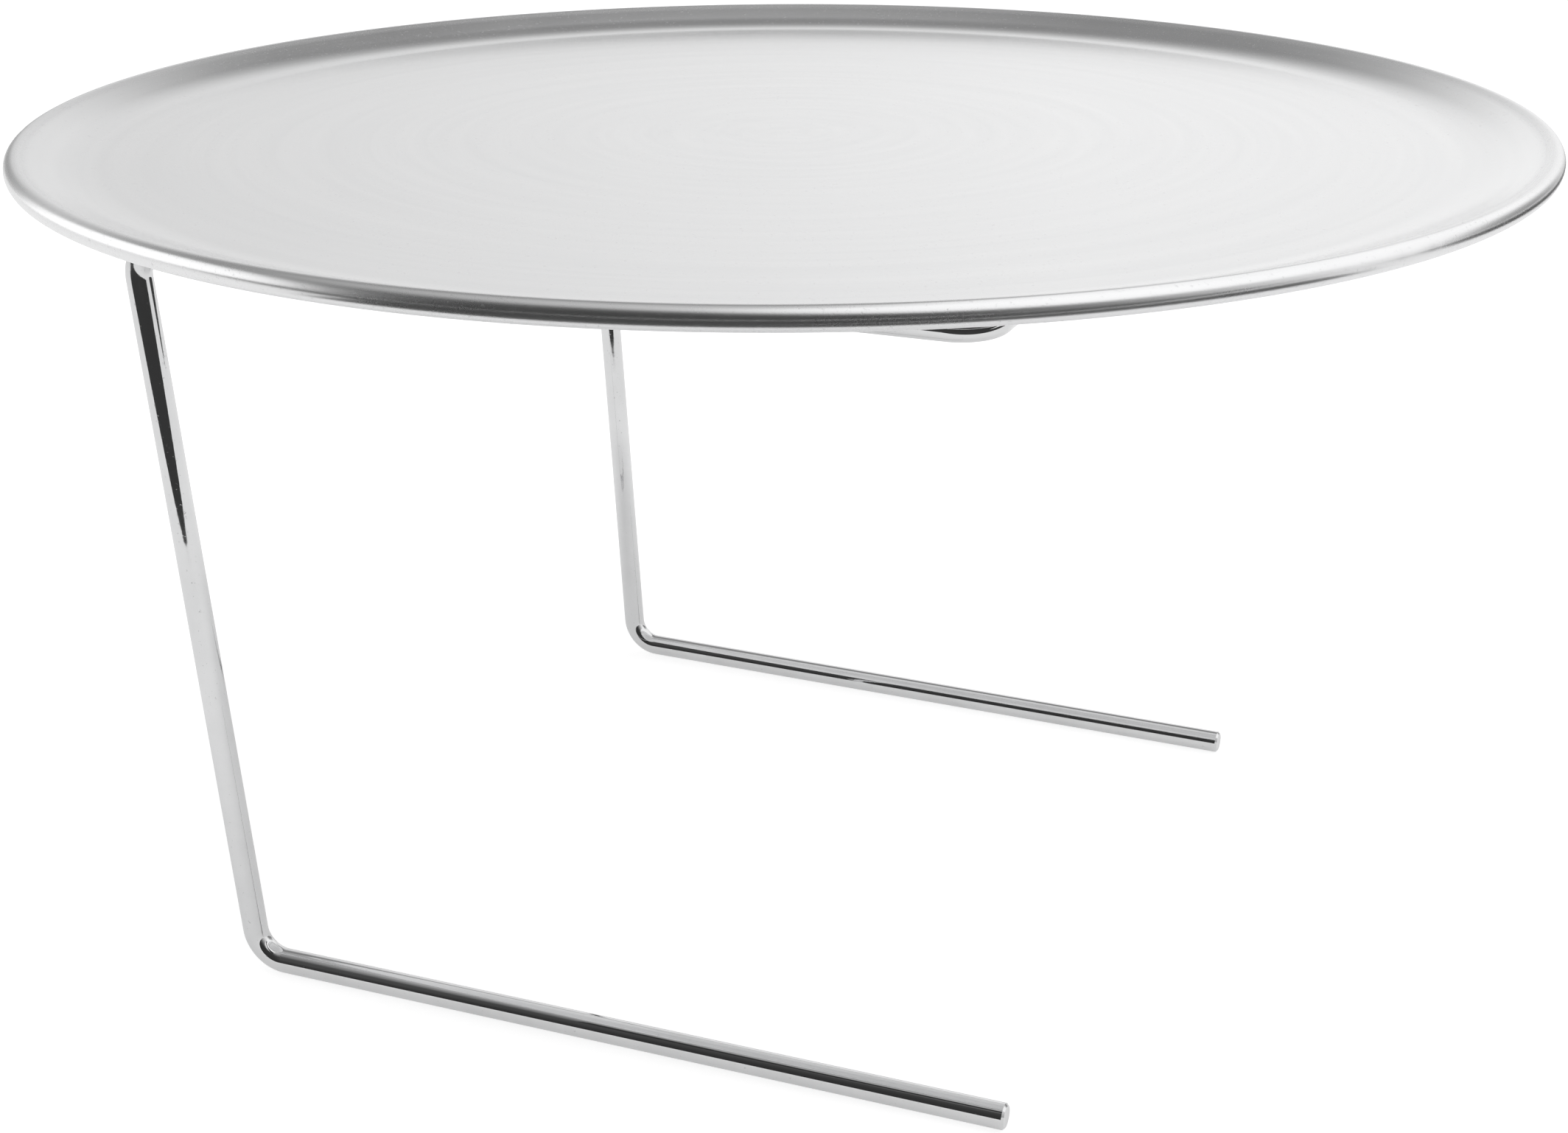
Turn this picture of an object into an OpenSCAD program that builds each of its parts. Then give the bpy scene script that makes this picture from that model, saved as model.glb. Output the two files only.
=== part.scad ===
// Round pizza pan resting on a cantilevered tray stand bent from one length of wire.
// Origin: on the table, under the middle of the pan. +X is the way the feet point, +Z is up.

/* [Pan] */
// Diameter over the rolled bead
pan_d = 381; // [355:1:410]
// Width of the rim, from the edge of the flat floor to the outside of the bead
rim_w = 17; // [14:0.5:24]
// Height of the top of the bead above the floor
rim_h = 5.4; // [5.2:0.1:8]
// Radius of the hollow bend between the floor and the rim
crease_r = 36; // [6:1:36]
// Diameter of the rolled bead
bead_d = 5.3; // [4.6:0.1:5.8]
// Thickness of the sheet
sheet_t = 0.8; // [0.7:0.1:1.2]
// Gap between the sheet's cut edge, at the end of the roll, and the underside of the rim
curl_gap = 0.8; // [0.6:0.1:1.2]

/* [Stand] */
// Diameter of the wire
wire_d = 6; // [5:0.5:7]
// Height from the table to the top of the loop
stand_h = 184.5; // [150:0.5:230]
// Width over the two arms of the loop
loop_w = 225.5; // [180:0.5:260]
// Length over the loop, from the back of the legs' top bends to its front bar
loop_l = 201; // [160:0.5:240]
// Width over the two feet, at their heels
foot_w = 216.5; // [180:0.5:260]
// Length of a foot, from the back of its heel bend to its cut end
foot_l = 193.5; // [150:0.5:230]
// How far the top of each leg leans back behind its heel
leg_lean = 12; // [0:0.5:20]
// Angle by which each foot toes in, in degrees
toe_in = 1.1; // [0:0.1:3]
// Radius of every bend, to the centre of the wire
bend_r = 8; // [7:0.5:14]
// Chamfer on the cut ends of the wire
end_chamfer = 0.5; // [0.2:0.1:1]

/* [Placement] */
// How far the middle of the stand is ahead of the middle of the pan
stand_x = 5.5; // [-20:0.5:20]
// How far the middle of the stand is to the side of the middle of the pan
stand_y = -34.5; // [-40:0.5:40]
// Clearance between the wire and the pan that rests on it
seat_gap = 0.3; // [0.2:0.1:0.5]

/* [Hidden] */

pan_r = pan_d / 2;
bead_r = bead_d / 2;
floor_r = pan_r - rim_w;
pan_z = stand_h + seat_gap + sheet_t;
// Middle of the bead, from the centre and the top of the pan's floor
bead_x = pan_r - bead_r;
bead_z = rim_h - bead_r;
// Slope of the rim, which meets the bead smoothly
slope = atan2(bead_z, bead_x - floor_r) + asin(bead_r / norm([bead_x - floor_r, bead_z]));
// Turn at which the roll's cut edge would touch the underside of the rim, and where it stops short
closing_turn = 360 - acos((bead_r - sheet_t) / bead_r);
curl_turn = closing_turn - 180 / PI * curl_gap / bead_r;
// Longest step in which the pan's arcs are drawn, in degrees
arc_step = 7.5;

wire_r = wire_d / 2;
loop_z = stand_h - wire_r;
loop_y = loop_w / 2 - wire_r;
heel_y = foot_w / 2 - wire_r;
foot_run = foot_l - wire_r;
stand_l = leg_lean + wire_r + foot_run * cos(toe_in);
back_x = wire_r - stand_l / 2;
heel_x = back_x + leg_lean;
front_x = back_x + loop_l - wire_d;
toe_x = heel_x + foot_run * cos(toe_in);
toe_y = heel_y - foot_run * sin(toe_in);

// The wire draws down a little where it is bent, so the straight stretches lap over the bends' ends
bend_thinning = 0.03;
run_lap = 0.1;

$fn = 64;

function unit(v) = v / norm(v);

// Direction of the wire along the stretch that starts at point i
function heading(points, i) = unit(points[i + 1] - points[i]);

// Angle through which the wire turns at point i
function turn_at(points, i) = acos(heading(points, i - 1) * heading(points, i));

// Length that the bend at point i takes off each straight stretch, and 0 at a free end
function trim_at(points, i, bend) =
    i == 0 || i == len(points) - 1 ? 0 : bend * tan(turn_at(points, i) / 2) - run_lap;

// A straight stretch of wire, with a chamfer round the end that it runs to
module wire_run(from, to, r, chamfer) {
    dir = unit(to - from);
    length = norm(to - from);
    translate(from)
        rotate([0, acos(dir.z), atan2(dir.y, dir.x)])
            if (chamfer > 0)
                rotate_extrude()
                    polygon([[0, 0], [r, 0], [r, length - chamfer], [r - chamfer, length], [0, length]]);
            else
                cylinder(h = length, r = r);
}

// Straight stretches between the bends. The first is drawn backwards, towards its cut end.
module wire_runs(points, r, bend, chamfer) {
    last = len(points) - 2;
    for (i = [0 : last]) {
        dir = heading(points, i);
        start = points[i] + dir * trim_at(points, i, bend);
        end = points[i + 1] - dir * trim_at(points, i + 1, bend);
        if (i == 0)
            wire_run(end, start, r, chamfer);
        else
            wire_run(start, end, r, i == last ? chamfer : 0);
    }
}

// One bend at each point where two stretches meet
module wire_bends(points, r, bend) {
    for (i = [1 : len(points) - 2]) {
        dir_in = heading(points, i - 1);
        dir_out = heading(points, i);
        inward = unit(dir_out - (dir_out * dir_in) * dir_in);
        centre = points[i] - dir_in * bend * tan(turn_at(points, i) / 2) + inward * bend;
        axis = cross(-inward, dir_in);
        multmatrix([
            [-inward.x, dir_in.x, axis.x, centre.x],
            [-inward.y, dir_in.y, axis.y, centre.y],
            [-inward.z, dir_in.z, axis.z, centre.z],
            [0, 0, 0, 1]
        ])
            rotate_extrude(angle = turn_at(points, i))
                translate([bend, 0])
                    circle(r = r);
    }
}

module wire_stand() {
    near = [
        [toe_x, -toe_y, wire_r],
        [heel_x, -heel_y, wire_r],
        [back_x, -loop_y, loop_z],
        [front_x, -loop_y, loop_z]
    ];
    far = [for (i = [len(near) - 1 : -1 : 0]) [near[i].x, -near[i].y, near[i].z]];
    path = concat(near, far);
    color([0.75, 0.76, 0.78])
        translate([stand_x, stand_y, 0]) {
            wire_runs(path, wire_r, bend_r, end_chamfer);
            wire_bends(path, wire_r - bend_thinning, bend_r);
        }
}

// Points on an arc, from one angle to another
function arc_points(centre, r, from, to) = [
    for (i = [0 : ceil(abs(to - from) / arc_step)])
        let (a = from + (to - from) * i / ceil(abs(to - from) / arc_step))
            centre + r * [cos(a), sin(a)]
];

// One sheet: flat floor, sloping rim, then a roll that turns outwards, down and back under
module pizza_pan() {
    crease = [floor_r - crease_r * tan(slope / 2), crease_r];
    bead = [bead_x, bead_z];
    roll_start = 90 + slope;
    roll_end = roll_start - curl_turn;
    color([0.83, 0.83, 0.84])
        translate([0, 0, pan_z])
            rotate_extrude($fn = 180)
                polygon(concat(
                    [[0, 0]],
                    arc_points(crease, crease_r, -90, slope - 90),
                    arc_points(bead, bead_r, roll_start, roll_end),
                    arc_points(bead, bead_r - sheet_t, roll_end, roll_start),
                    arc_points(crease, crease_r + sheet_t, slope - 90, -90),
                    [[0, -sheet_t]]
                ));
}

pizza_pan();
wire_stand();
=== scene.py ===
"""A round pizza pan on a bent-wire tray stand: looks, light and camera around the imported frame."""

import math

import bpy
from mathutils import Matrix, Vector


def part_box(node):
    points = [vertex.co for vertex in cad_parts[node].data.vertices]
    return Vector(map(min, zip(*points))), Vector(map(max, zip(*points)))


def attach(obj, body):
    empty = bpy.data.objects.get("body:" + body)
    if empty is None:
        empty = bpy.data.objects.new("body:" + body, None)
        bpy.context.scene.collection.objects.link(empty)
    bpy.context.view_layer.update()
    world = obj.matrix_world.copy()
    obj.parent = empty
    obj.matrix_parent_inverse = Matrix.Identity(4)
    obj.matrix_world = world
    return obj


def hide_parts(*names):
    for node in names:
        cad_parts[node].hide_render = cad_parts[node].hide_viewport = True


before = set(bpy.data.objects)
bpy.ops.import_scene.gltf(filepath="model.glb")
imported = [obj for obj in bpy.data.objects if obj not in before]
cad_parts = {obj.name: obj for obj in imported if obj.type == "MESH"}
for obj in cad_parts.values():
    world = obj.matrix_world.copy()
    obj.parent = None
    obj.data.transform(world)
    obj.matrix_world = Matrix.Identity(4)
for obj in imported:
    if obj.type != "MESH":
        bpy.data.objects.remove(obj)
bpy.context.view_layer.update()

MM = 0.001

# ---------------------------------------------------------------------------------------------
# Sizes in millimetres. The pan's and the stand's outsides come from the frame.
# ---------------------------------------------------------------------------------------------

pan_low, pan_high = [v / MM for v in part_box("pizza_pan")]
stand_low, stand_high = [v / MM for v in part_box("wire_stand")]

PAN_R = (pan_high.x - pan_low.x) / 2
SHEET = 0.8
RIM_W = 17.0
RIM_H = 5.4
BEAD_R = 2.65
CURL_GAP = 0.8
FLOOR_Z = pan_low.z + SHEET
FLOOR_R = PAN_R - RIM_W
CREASE_R = 36.0

WIRE_R = 3.0
BEND_R = 8.0
LEG_LEAN = 12.0
FOOT_W = 216.5
LOOP_L = 201.0
TOE_IN = math.radians(1.1)
END_CHAMFER = 0.5
# How far the bending pin flattens the inside of a bend, and how far the outside draws thin
PIN_FLAT = 0.16
OUTSIDE_THIN = 0.05

# Fineness of the meshes: sides of a ring, steps in a bend, and the usual step on straight wire
PAN_SIDES = 720
WIRE_SIDES = 64
BEND_STEPS = 24
STRAIGHT_STEP = 6


# ---------------------------------------------------------------------------------------------
# Mesh helpers
# ---------------------------------------------------------------------------------------------


def mesh_piece(name, points, faces, smooth_angle=40):
    """A mesh object from points in millimetres, shaded smooth except at sharp edges."""
    mesh = bpy.data.meshes.new(name)
    mesh.from_pydata([tuple(c * MM for c in p) for p in points], [], faces)
    mesh.validate()
    mesh.polygons.foreach_set("use_smooth", [True] * len(mesh.polygons))
    mesh.set_sharp_from_angle(angle=math.radians(smooth_angle))
    piece = bpy.data.objects.new(name, mesh)
    bpy.context.scene.collection.objects.link(piece)
    return piece


def arc(centre, radius, start, end, steps):
    """Points on an arc in the plane, angles in degrees."""
    points = []
    for i in range(steps + 1):
        a = math.radians(start + (end - start) * i / steps)
        points.append((centre[0] + radius * math.cos(a), centre[1] + radius * math.sin(a)))
    return points


def ring_faces(first, second, count):
    """Quads between two rings of count vertices each."""
    faces = []
    for i in range(count):
        j = (i + 1) % count
        faces.append((first + i, first + j, second + j, second + i))
    return faces


# ---------------------------------------------------------------------------------------------
# Pan
# ---------------------------------------------------------------------------------------------

# Small dents knocked into the bead: where round the rim and how wide, in degrees, and how deep
BEAD_NICKS = [(-27, 1.2, 0.18), (-31, 0.7, 0.12), (-24, 0.5, 0.1), (-152, 0.8, 0.1), (74, 1.0, 0.14)]


def pan_profile():
    """Half section of the sheet as (radius, height) points, from the middle of the floor out and back."""
    bead = (PAN_R - BEAD_R, RIM_H - BEAD_R)
    run = bead[0] - FLOOR_R
    slope = math.degrees(math.atan2(bead[1], run) + math.asin(BEAD_R / math.hypot(run, bead[1])))
    crease = (FLOOR_R - CREASE_R * math.tan(math.radians(slope / 2)), CREASE_R)
    closing_turn = 360 - math.degrees(math.acos((BEAD_R - SHEET) / BEAD_R))
    roll_start = 90 + slope
    roll_end = roll_start - closing_turn + math.degrees(CURL_GAP / BEAD_R)
    floor_rings, under_rings = 24, 12
    top = [(i * crease[0] / floor_rings, 0) for i in range(1, floor_rings)]
    top += arc(crease, CREASE_R, -90, slope - 90, 18)
    top += arc(bead, BEAD_R, roll_start, roll_end, 44)
    under = arc(bead, BEAD_R - SHEET, roll_end, roll_start, 36)
    under += arc(crease, CREASE_R + SHEET, slope - 90, -90, 10)
    under += [(i * crease[0] / under_rings, -SHEET) for i in range(under_rings - 1, 0, -1)]
    return top + under


def nick_depth(angle, radius, height):
    """How far a dent pulls a point of the bead inwards."""
    if radius < PAN_R - 2 * BEAD_R:
        return 0
    depth = 0
    for where, width, deep in BEAD_NICKS:
        gap = (math.degrees(angle) - where + 180) % 360 - 180
        depth += deep * math.exp(-((gap / (width / 2)) ** 2))
    facing = max(0, (height - RIM_H + 2 * BEAD_R) / (2 * BEAD_R))
    return depth * facing


def build_pan():
    """The sheet as one closed mesh: its section turned round the middle."""
    count = PAN_SIDES
    profile = pan_profile()
    points = []
    for radius, height in profile:
        for i in range(count):
            angle = 2 * math.pi * i / count
            r = radius - nick_depth(angle, radius, height)
            points.append((r * math.cos(angle), r * math.sin(angle), FLOOR_Z + height))
    faces = []
    for k in range(len(profile) - 1):
        faces += ring_faces(k * count, (k + 1) * count, count)
    top_middle = len(points)
    points += [(0, 0, FLOOR_Z), (0, 0, FLOOR_Z - SHEET)]
    last = (len(profile) - 1) * count
    for i in range(count):
        j = (i + 1) % count
        faces.append((top_middle, i, j))
        faces.append((top_middle + 1, last + j, last + i))
    pan = mesh_piece("pan_sheet", points, faces, 50)
    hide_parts("pizza_pan")
    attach(pan, "pan")
    return pan


# ---------------------------------------------------------------------------------------------
# Stand
# ---------------------------------------------------------------------------------------------


def stand_corners():
    """Where the wire's straight stretches would meet, from one cut end to the other."""
    middle_y = (stand_low.y + stand_high.y) / 2
    loop_y = (stand_high.y - stand_low.y) / 2 - WIRE_R
    loop_z = stand_high.z - WIRE_R
    back_x = stand_low.x + WIRE_R
    heel_x = back_x + LEG_LEAN
    front_x = back_x + LOOP_L - 2 * WIRE_R
    heel_y = FOOT_W / 2 - WIRE_R
    toe_x = stand_high.x
    toe_y = heel_y - (toe_x - heel_x) * math.tan(TOE_IN)
    side = [
        (toe_x, toe_y, WIRE_R),
        (heel_x, heel_y, WIRE_R),
        (back_x, loop_y, loop_z),
        (front_x, loop_y, loop_z),
    ]
    path = [Vector((x, middle_y - y, z)) for x, y, z in side]
    path += [Vector((x, middle_y + y, z)) for x, y, z in reversed(side)]
    return path


def wire_stations():
    """Stations along the wire: place, direction, how strongly bent there, 0 to 1, and the bend's middle."""
    corners = stand_corners()
    stations = []
    start = corners[0]
    for i in range(1, len(corners) - 1):
        way_in = (corners[i] - corners[i - 1]).normalized()
        way_out = (corners[i + 1] - corners[i]).normalized()
        turn = way_in.angle(way_out)
        trim = BEND_R * math.tan(turn / 2)
        end = corners[i] - way_in * trim
        stations += straight_stations(start, end)
        inward = (way_out - way_in * way_out.dot(way_in)).normalized()
        centre = end + inward * BEND_R
        for k in range(1, BEND_STEPS):
            a = turn * k / BEND_STEPS
            place = centre - inward * BEND_R * math.cos(a) + way_in * BEND_R * math.sin(a)
            direction = way_in * math.cos(a) + inward * math.sin(a)
            stations.append((place, direction, math.sin(math.pi * k / BEND_STEPS), centre))
        start = corners[i] + way_out * trim
    stations += straight_stations(start, corners[-1])
    return stations


def straight_stations(start, end):
    """Evenly spaced stations along a straight stretch."""
    length = (end - start).length
    count = max(2, round(length / STRAIGHT_STEP))
    direction = (end - start).normalized()
    return [(start.lerp(end, k / count), direction, 0, None) for k in range(count + 1)]


def chamfered_stations():
    """The wire's stations with its radius at each, narrowed at the two cut ends."""
    stations = wire_stations()
    start, start_way = stations[0][:2]
    end, end_way = stations[-1][:2]
    cut_r = WIRE_R - END_CHAMFER
    shaped = [(start, start_way, 0, None, cut_r)]
    shaped += [(start + start_way * END_CHAMFER, start_way, 0, None, WIRE_R)]
    shaped += [station + (WIRE_R,) for station in stations[1:-1]]
    shaped += [(end - end_way * END_CHAMFER, end_way, 0, None, WIRE_R)]
    shaped += [(end, end_way, 0, None, cut_r)]
    return shaped


def build_stand():
    """The wire as one closed mesh: a ring of points at each station, and a cap on each cut end."""
    sides = WIRE_SIDES
    stations = chamfered_stations()
    points = []
    side = Vector((0, 1, 0))
    rings = []
    for place, direction, bending, centre, radius in stations:
        side = (side - direction * side.dot(direction)).normalized()
        other = direction.cross(side)
        inward = (centre - place).normalized() if centre is not None else None
        rings.append(len(points))
        for i in range(sides):
            a = 2 * math.pi * i / sides
            offset = side * math.cos(a) + other * math.sin(a)
            pressed = 0
            if inward is not None:
                pressed = PIN_FLAT * bending * max(0, offset.dot(inward)) ** 6
                pressed += OUTSIDE_THIN * bending * max(0, -offset.dot(inward)) ** 2
            points.append(place + offset * (radius - pressed))
    faces = []
    for a, b in zip(rings, rings[1:]):
        faces += ring_faces(a, b, sides)
    caps = end_cap(points, rings[0], sides, stations[0][1], False)
    caps += end_cap(points, rings[-1], sides, stations[-1][1], True)
    stand = mesh_piece("stand_wire", points, faces + caps, 30)
    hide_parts("wire_stand")
    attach(stand, "stand")
    return stand


def end_cap(points, ring, sides, direction, forwards):
    """Closes a cut end: a narrow worn edge, then a face that dishes in by a hair, as a sheared end does."""
    edge = [points[ring + i] for i in range(sides)]
    middle = sum(edge, Vector()) / sides
    outward = direction if forwards else -direction
    faces = []
    previous = ring
    for scale, sink in ((0.94, 0), (0.6, 0.03), (0.25, 0.06)):
        start = len(points)
        for p in edge:
            points.append(middle + (p - middle) * scale - outward * sink)
        faces += [f if forwards else f[::-1] for f in ring_faces(previous, start, sides)]
        previous = start
    tip = len(points)
    points.append(middle - outward * 0.07)
    for i in range(sides):
        j = (i + 1) % sides
        face = (tip, previous + i, previous + j)
        faces.append(face if forwards else face[::-1])
    return faces


# ---------------------------------------------------------------------------------------------
# Materials
# ---------------------------------------------------------------------------------------------


class Nodes:
    """Small helper that adds and links shader nodes in one line each."""

    def __init__(self, tree):
        self.tree = tree

    def add(self, kind, inputs=None, **settings):
        node = self.tree.nodes.new(kind)
        for key, value in settings.items():
            setattr(node, key, value)
        for key, value in (inputs or {}).items():
            self.feed(node.inputs[key], value)
        return node

    def feed(self, socket, value):
        if isinstance(value, bpy.types.NodeSocket):
            self.tree.links.new(value, socket)
        else:
            socket.default_value = value

    def math(self, operation, a, b=0.0, c=0.0):
        node = self.add("ShaderNodeMath", {0: a, 1: b, 2: c}, operation=operation)
        return node.outputs[0]

    def ranged(self, value, low, high, to_low=0.0, to_high=1.0):
        sockets = {"Value": value, "From Min": low, "From Max": high, "To Min": to_low, "To Max": to_high}
        return self.add("ShaderNodeMapRange", sockets, clamp=True).outputs["Result"]

    def noise(self, vector, scale, detail=3.0, roughness=0.5):
        sockets = {"Vector": vector, "Scale": scale, "Detail": detail, "Roughness": roughness}
        return self.add("ShaderNodeTexNoise", sockets).outputs["Fac"]

    def mix(self, factor, a, b):
        node = self.add("ShaderNodeMix", {"Factor": factor}, data_type="RGBA")
        self.feed(node.inputs[6], a)
        self.feed(node.inputs[7], b)
        return node.outputs[2]

    def vector(self, x, y, z):
        return self.add("ShaderNodeCombineXYZ", {0: x, 1: y, 2: z}).outputs[0]


def new_material(name):
    """A material with one principled shader, and the helper that adds nodes to it."""
    material = bpy.data.materials.new(name)
    material.use_nodes = True
    tree = material.node_tree
    tree.nodes.clear()
    nodes = Nodes(tree)
    shader = nodes.add("ShaderNodeBsdfPrincipled")
    output = nodes.add("ShaderNodeOutputMaterial")
    tree.links.new(shader.outputs[0], output.inputs["Surface"])
    return material, nodes, shader


def pan_aluminium():
    """Bare aluminium sheet, spun: fine rings from the tool, a soft mill haze, specks on the rolled bead."""
    material, n, shader = new_material("spun_aluminium")
    place = n.add("ShaderNodeTexCoord").outputs["Object"]
    split = n.add("ShaderNodeSeparateXYZ", {0: place})
    x, y = split.outputs[0], split.outputs[1]
    radius = n.math("SQRT", n.math("ADD", n.math("MULTIPLY", x, x), n.math("MULTIPLY", y, y)))
    angle = n.math("ARCTAN2", y, x)

    # Fine rings: noise that changes quickly with the radius and slowly round the pan
    ring_place = n.vector(n.math("MULTIPLY", radius, 2600.0), n.math("SINE", angle), n.math("COSINE", angle))
    rings = n.noise(ring_place, 1.0, 4.0, 0.65)
    # Coarser bands left by passes of the spinning tool
    band_place = n.vector(n.math("MULTIPLY", radius, 240.0), n.math("SINE", angle), n.math("COSINE", angle))
    bands = n.noise(band_place, 1.0, 2.0, 0.5)
    haze = n.noise(place, 22.0, 4.0, 0.55)
    grain = n.noise(place, 1900.0, 2.0, 0.6)
    specks = n.ranged(n.noise(place, 1100.0, 3.0, 0.7), 0.6, 0.72)
    on_bead = n.ranged(radius, (PAN_R - 2.3 * BEAD_R) * MM, (PAN_R - 1.7 * BEAD_R) * MM)

    rough = n.math("MULTIPLY_ADD", haze, 0.07, 0.135)
    rough = n.math("MULTIPLY_ADD", rings, 0.05, rough)
    rough = n.math("MULTIPLY_ADD", on_bead, 0.08, rough)
    n.feed(shader.inputs["Roughness"], n.math("MULTIPLY_ADD", specks, 0.12, rough))

    tone = n.math("MULTIPLY_ADD", bands, 0.5, n.math("MULTIPLY", haze, 0.5))
    color = n.mix(n.ranged(tone, 0.3, 0.7), (0.83, 0.832, 0.838, 1), (0.89, 0.89, 0.893, 1))
    worn = n.math("MULTIPLY", specks, n.math("MULTIPLY", on_bead, 0.5))
    n.feed(shader.inputs["Base Color"], n.mix(worn, color, (0.62, 0.62, 0.63, 1)))

    # The roll is smoothed by the beading wheel, which leaves grain and specks but few rings
    ring_depth = n.ranged(on_bead, 0.0, 1.0, 0.5, 0.12)
    height = n.math("MULTIPLY_ADD", rings, ring_depth, n.math("MULTIPLY", bands, 1.5))
    height = n.math("MULTIPLY_ADD", grain, n.math("MULTIPLY_ADD", on_bead, 0.9, 0.25), height)
    height = n.math("MULTIPLY_ADD", specks, n.math("MULTIPLY", on_bead, -0.7), height)
    bump = n.add("ShaderNodeBump", {"Height": height, "Strength": 0.35, "Distance": 0.00002})
    n.feed(shader.inputs["Normal"], bump.outputs[0])
    shader.inputs["Metallic"].default_value = 1.0
    return material


def stand_chrome():
    """Bright chrome plate over drawn wire: a faint ripple, pin pricks and a thin smear of handling."""
    material, n, shader = new_material("chrome_plate")
    place = n.add("ShaderNodeTexCoord").outputs["Object"]
    smear = n.noise(place, 60.0, 4.0, 0.6)
    ripple = n.noise(place, 260.0, 2.0, 0.5)
    pricks = n.ranged(n.noise(place, 1500.0, 2.0, 0.6), 0.68, 0.76)
    rough = n.math("MULTIPLY_ADD", n.ranged(smear, 0.45, 0.75), 0.05, 0.035)
    n.feed(shader.inputs["Roughness"], n.math("MULTIPLY_ADD", pricks, 0.1, rough))
    color = n.mix(n.ranged(smear, 0.35, 0.7), (0.78, 0.782, 0.786, 1), (0.73, 0.732, 0.736, 1))
    n.feed(shader.inputs["Base Color"], n.mix(n.math("MULTIPLY", pricks, 0.5), color, (0.46, 0.46, 0.465, 1)))
    height = n.math("MULTIPLY_ADD", pricks, -0.6, ripple)
    bump = n.add("ShaderNodeBump", {"Height": height, "Strength": 0.25, "Distance": 0.00004})
    n.feed(shader.inputs["Normal"], bump.outputs[0])
    shader.inputs["Metallic"].default_value = 1.0
    return material


def floor_white():
    """White table, lit evenly from below as well, and a little more so as the camera sees it directly."""
    material = bpy.data.materials.new("table_white")
    material.use_nodes = True
    tree = material.node_tree
    tree.nodes.clear()
    n = Nodes(tree)
    diffuse = n.add("ShaderNodeBsdfDiffuse", {"Color": (0.5, 0.5, 0.5, 1)})
    seen = n.add("ShaderNodeLightPath").outputs["Is Camera Ray"]
    own_light = 0.45
    seen_light = 0.32
    strength = n.math("MULTIPLY_ADD", seen, seen_light, own_light)
    lift = n.add("ShaderNodeEmission", {"Color": (1, 1, 1, 1), "Strength": strength})
    both = n.add("ShaderNodeAddShader", {0: diffuse.outputs[0], 1: lift.outputs[0]})
    output = n.add("ShaderNodeOutputMaterial")
    tree.links.new(both.outputs[0], output.inputs["Surface"])
    return material


def painted_reflection_card(name, grey):
    """Dull dark board, with no gloss, for sheets that only the metal sees: painted dark reflections standing
    in for an unlit room.
    """
    material, _, shader = new_material(name)
    shader.inputs["Base Color"].default_value = (grey, grey, grey, 1)
    shader.inputs["Roughness"].default_value = 1.0
    shader.inputs["Specular IOR Level"].default_value = 0.0
    return material


# ---------------------------------------------------------------------------------------------
# Camera, stage and light
# ---------------------------------------------------------------------------------------------

CAMERA_PLACE = Vector((0.23308, -0.55887, 0.30369))
CAMERA_YAW = math.radians(22.686)
CAMERA_DOWN = math.radians(21.397)
CAMERA_ROLL = math.radians(-0.264)
CAMERA_LENS = 54.59
# Level direction from the object to the camera
TO_CAMERA = Vector((math.sin(CAMERA_YAW), -math.cos(CAMERA_YAW), 0))
TO_RIGHT = Vector((math.cos(CAMERA_YAW), math.sin(CAMERA_YAW), 0))


def set_camera():
    """The camera where the photographer's stood, looking the same way."""
    data = bpy.data.cameras.new("camera")
    data.lens = CAMERA_LENS
    data.sensor_width = 36
    data.sensor_fit = "HORIZONTAL"
    data.clip_start = 0.01
    camera = bpy.data.objects.new("camera", data)
    turn = Matrix.Rotation(CAMERA_YAW, 4, "Z") @ Matrix.Rotation(math.pi / 2 - CAMERA_DOWN, 4, "X")
    camera.matrix_world = Matrix.Translation(CAMERA_PLACE) @ turn @ Matrix.Rotation(CAMERA_ROLL, 4, "Z")
    bpy.context.scene.collection.objects.link(camera)
    bpy.context.scene.camera = camera


def card(name, corners, material, seen_by_camera):
    """A flat stage piece, in metres. One that the camera doesn't see shows only in the metal, as a painted
    reflection.
    """
    mesh = bpy.data.meshes.new(name)
    mesh.from_pydata(corners, [], [(0, 1, 2, 3)])
    piece = bpy.data.objects.new(name, mesh)
    mesh.materials.append(material)
    bpy.context.scene.collection.objects.link(piece)
    if not seen_by_camera:
        piece.visible_camera = False
        piece.visible_diffuse = False
        piece.visible_shadow = False
    return piece


def set_stage():
    """The table, and dark cards just over it that only the metal sees: painted dark reflections of the unlit
    room beyond its front and right edges.
    """
    reach = 6.0
    table = [(-reach, -reach, 0), (reach, -reach, 0), (reach, reach, 0), (-reach, reach, 0)]
    card("table", table, floor_white(), True)
    front_edge = 0.44
    right_edge = 0.65
    far = 3.0
    # The front edge runs a little askew to the camera
    askew = 0.1 * far

    def spot(forward, right):
        return TO_CAMERA * forward + TO_RIGHT * right + Vector((0, 0, 0.001))

    front = [spot(front_edge - askew, -far), spot(front_edge + askew, far), spot(far, far), spot(far, -far)]
    # Painted dark reflection: a black sheet that only the metal sees, for the unlit room beyond the front
    # edge
    card("dark_front", front, painted_reflection_card("painted_reflection_black", 0.05), False)
    # Painted dark reflection: a near-black sheet that only the metal sees, for the unlit room off to the
    # right
    side_back, side_front, side_far = -1.3, -0.05, 2.6
    side = [
        spot(side_back, right_edge),
        spot(side_front, right_edge),
        spot(side_front, side_far),
        spot(side_back, side_far),
    ]
    card("dark_side", side, painted_reflection_card("painted_reflection_grey", 0.06), False)
    set_reflection_flag()


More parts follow.
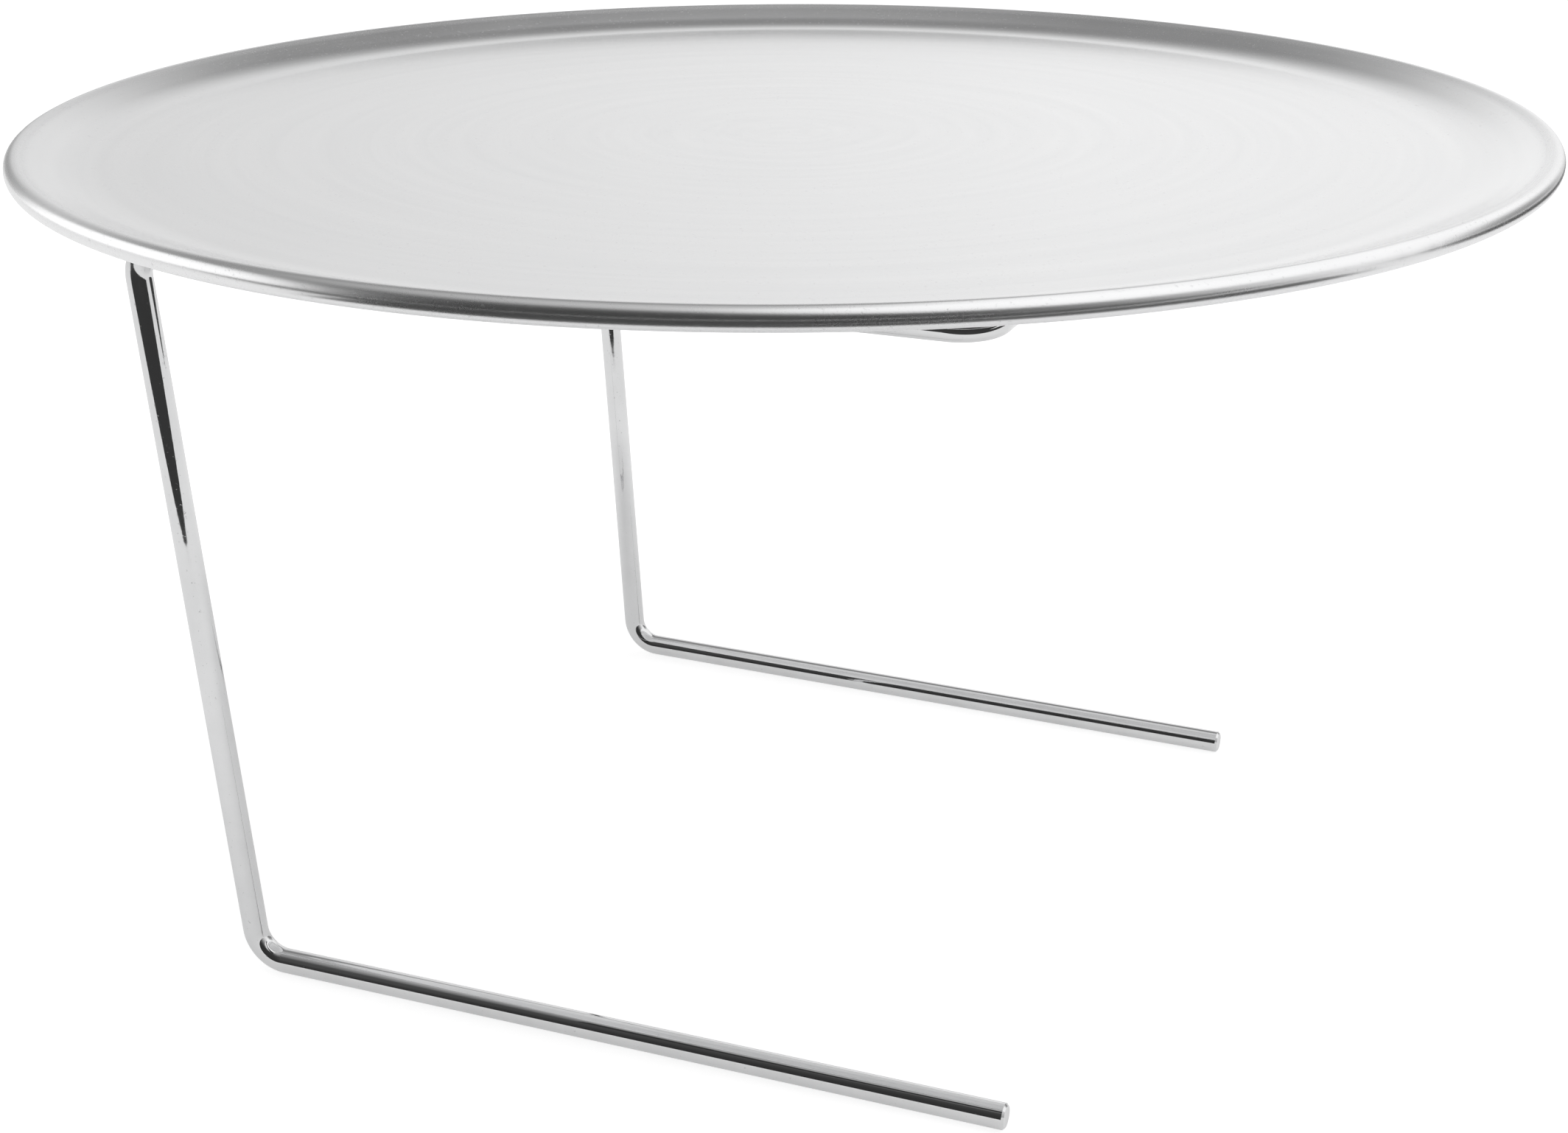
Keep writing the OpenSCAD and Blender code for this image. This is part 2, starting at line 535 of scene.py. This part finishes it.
def set_reflection_flag():
    """A narrow black flag bent round in front of the pan, just under its near edge, that only the metal sees:
    a painted dark reflection in the metal near it.
    """
    height = 0.15
    first, last = -38, 50
    steps = 22
    # Black that only the metal sees: painted dark reflection
    black = painted_reflection_card("flag_black", 0.05)
    edges = []
    for i in range(steps + 1):
        turn = first + (last - first) * i / steps
        way = TO_CAMERA * math.cos(math.radians(turn)) + TO_RIGHT * math.sin(math.radians(turn))
        # The flag stands further off and widens towards its ends
        spread = (turn / 45) ** 2
        inner = 0.208 + 0.013 * spread
        outer = 0.240 + 0.050 * spread
        edges.append([way * r + Vector((0, 0, height)) for r in (inner, outer)])
    for i in range(steps):
        corners = [edges[i][0], edges[i][1], edges[i + 1][1], edges[i + 1][0]]
        card("flag_%02d" % i, corners, black, False)


def studio_way(across, up):
    """A direction from the object, in degrees: across is turned from the camera towards its right."""
    across, up = math.radians(across), math.radians(up)
    level = TO_CAMERA * math.cos(across) + TO_RIGHT * math.sin(across)
    return level * math.cos(up) + Vector((0, 0, math.sin(up)))


def ramp(n, value, stops):
    """A colour ramp of greys along the height of a direction: stops are (degrees up, brightness)."""
    node = n.add("ShaderNodeValToRGB", {"Fac": value})
    band = node.color_ramp
    band.interpolation = "EASE"
    band.elements.remove(band.elements[1])
    for i, (up, grey) in enumerate(stops):
        place = math.sin(math.radians(up))
        stop = band.elements[0] if i == 0 else band.elements.new(place)
        stop.position = place
        stop.color = (grey, grey, grey, 1)
    return node.outputs["Color"]


def glow(n, way, across, up, inner, outer, bright):
    """A soft-edged round patch: full inside one angle from its middle, gone outside the other."""
    toward = n.add("ShaderNodeVectorMath", {0: way, 1: studio_way(across, up)}, operation="DOT_PRODUCT")
    edges = math.cos(math.radians(outer)), math.cos(math.radians(inner))
    node = n.add(
        "ShaderNodeMapRange",
        {"Value": toward.outputs["Value"], "From Min": edges[0], "From Max": edges[1], "To Max": bright},
        interpolation_type="SMOOTHSTEP",
    )
    return node.outputs["Result"]


# The studio as the metal sees it. Stops are (degrees up, brightness).
SWEEP_STOPS = [(0, 1.0), (18, 0.95), (24, 0.82), (30, 0.5), (36, 0.29), (45, 0.26), (52, 0.43), (90, 0.6)]
ROOM_STOPS = [(0, 0.035), (44, 0.045), (58, 0.1), (65, 0.38), (78, 0.45), (90, 0.65)]
# Round patches are (degrees from the camera to its right, degrees up, full within, gone beyond, strength).
ROOM = (-15, 0, 30, 110, 1.0)
LIGHTS = [(70, 58, 24, 48, 1.15), (115, 42, 34, 44, 1.1), (-102, 5, 30, 38, 1.25)]
UNLIT_GAPS = [(122, -2, 8, 26, 0.75), (-146, 5, 4, 17, 0.6)]


def set_world():
    """A pale sweep behind, white light above on the right, a lit wall low on the left, and a dark room
    behind the camera. The camera itself sees plain white."""
    world = bpy.data.worlds.new("studio")
    bpy.context.scene.world = world
    world.use_nodes = True
    tree = world.node_tree
    tree.nodes.clear()
    n = Nodes(tree)
    way = n.add("ShaderNodeTexCoord").outputs["Generated"]
    up = n.add("ShaderNodeSeparateXYZ", {0: way}).outputs[2]
    across = n.add("ShaderNodeVectorMath", {0: way, 1: TO_RIGHT}, operation="DOT_PRODUCT").outputs["Value"]
    # Low down the sweep is brighter on the right, and higher up on the left
    low = n.ranged(across, -0.3, 0.12, 0.77, 1.0)
    high = n.ranged(across, -0.25, 0.25, 0.97, 0.8)
    sweep = n.math("MULTIPLY", ramp(n, up, SWEEP_STOPS), n.mix(n.ranged(up, 0.3, 0.5), low, high))
    bright = n.mix(glow(n, way, *ROOM), sweep, ramp(n, up, ROOM_STOPS))
    for light in LIGHTS:
        bright = n.math("MAXIMUM", bright, glow(n, way, *light))
    for gap in UNLIT_GAPS:
        bright = n.math("MULTIPLY", bright, n.math("SUBTRACT", 1.0, glow(n, way, *gap)))
    studio = n.add("ShaderNodeBackground", {"Color": (1, 1, 1, 1), "Strength": bright})
    plain = n.add("ShaderNodeBackground", {"Color": (1, 1, 1, 1), "Strength": 1.0})
    seen = n.add("ShaderNodeLightPath").outputs["Is Camera Ray"]
    chosen = n.add("ShaderNodeMixShader", {0: seen, 1: studio.outputs[0], 2: plain.outputs[0]})
    output = n.add("ShaderNodeOutputWorld")
    tree.links.new(chosen.outputs[0], output.inputs["Surface"])


def soft_light(name, place, target, size, power):
    """A round area light that casts the soft shadows. The metal doesn't mirror it."""
    data = bpy.data.lights.new(name, "AREA")
    data.shape = "DISK"
    data.size = size
    data.energy = power
    light = bpy.data.objects.new(name, data)
    light.location = place
    light.visible_glossy = False
    light.rotation_euler = (Vector(target) - Vector(place)).to_track_quat("-Z", "Y").to_euler()
    bpy.context.scene.collection.objects.link(light)


# ---------------------------------------------------------------------------------------------
# Scene
# ---------------------------------------------------------------------------------------------

bpy.context.scene.view_settings.view_transform = "Standard"
set_camera()
build_pan().data.materials.append(pan_aluminium())
build_stand().data.materials.append(stand_chrome())
set_stage()
set_world()
soft_light("top_softbox", (-0.2, 0.1, 1.7), (0, 0, 0.1), 1.4, 9)

bpy.context.view_layer.update()
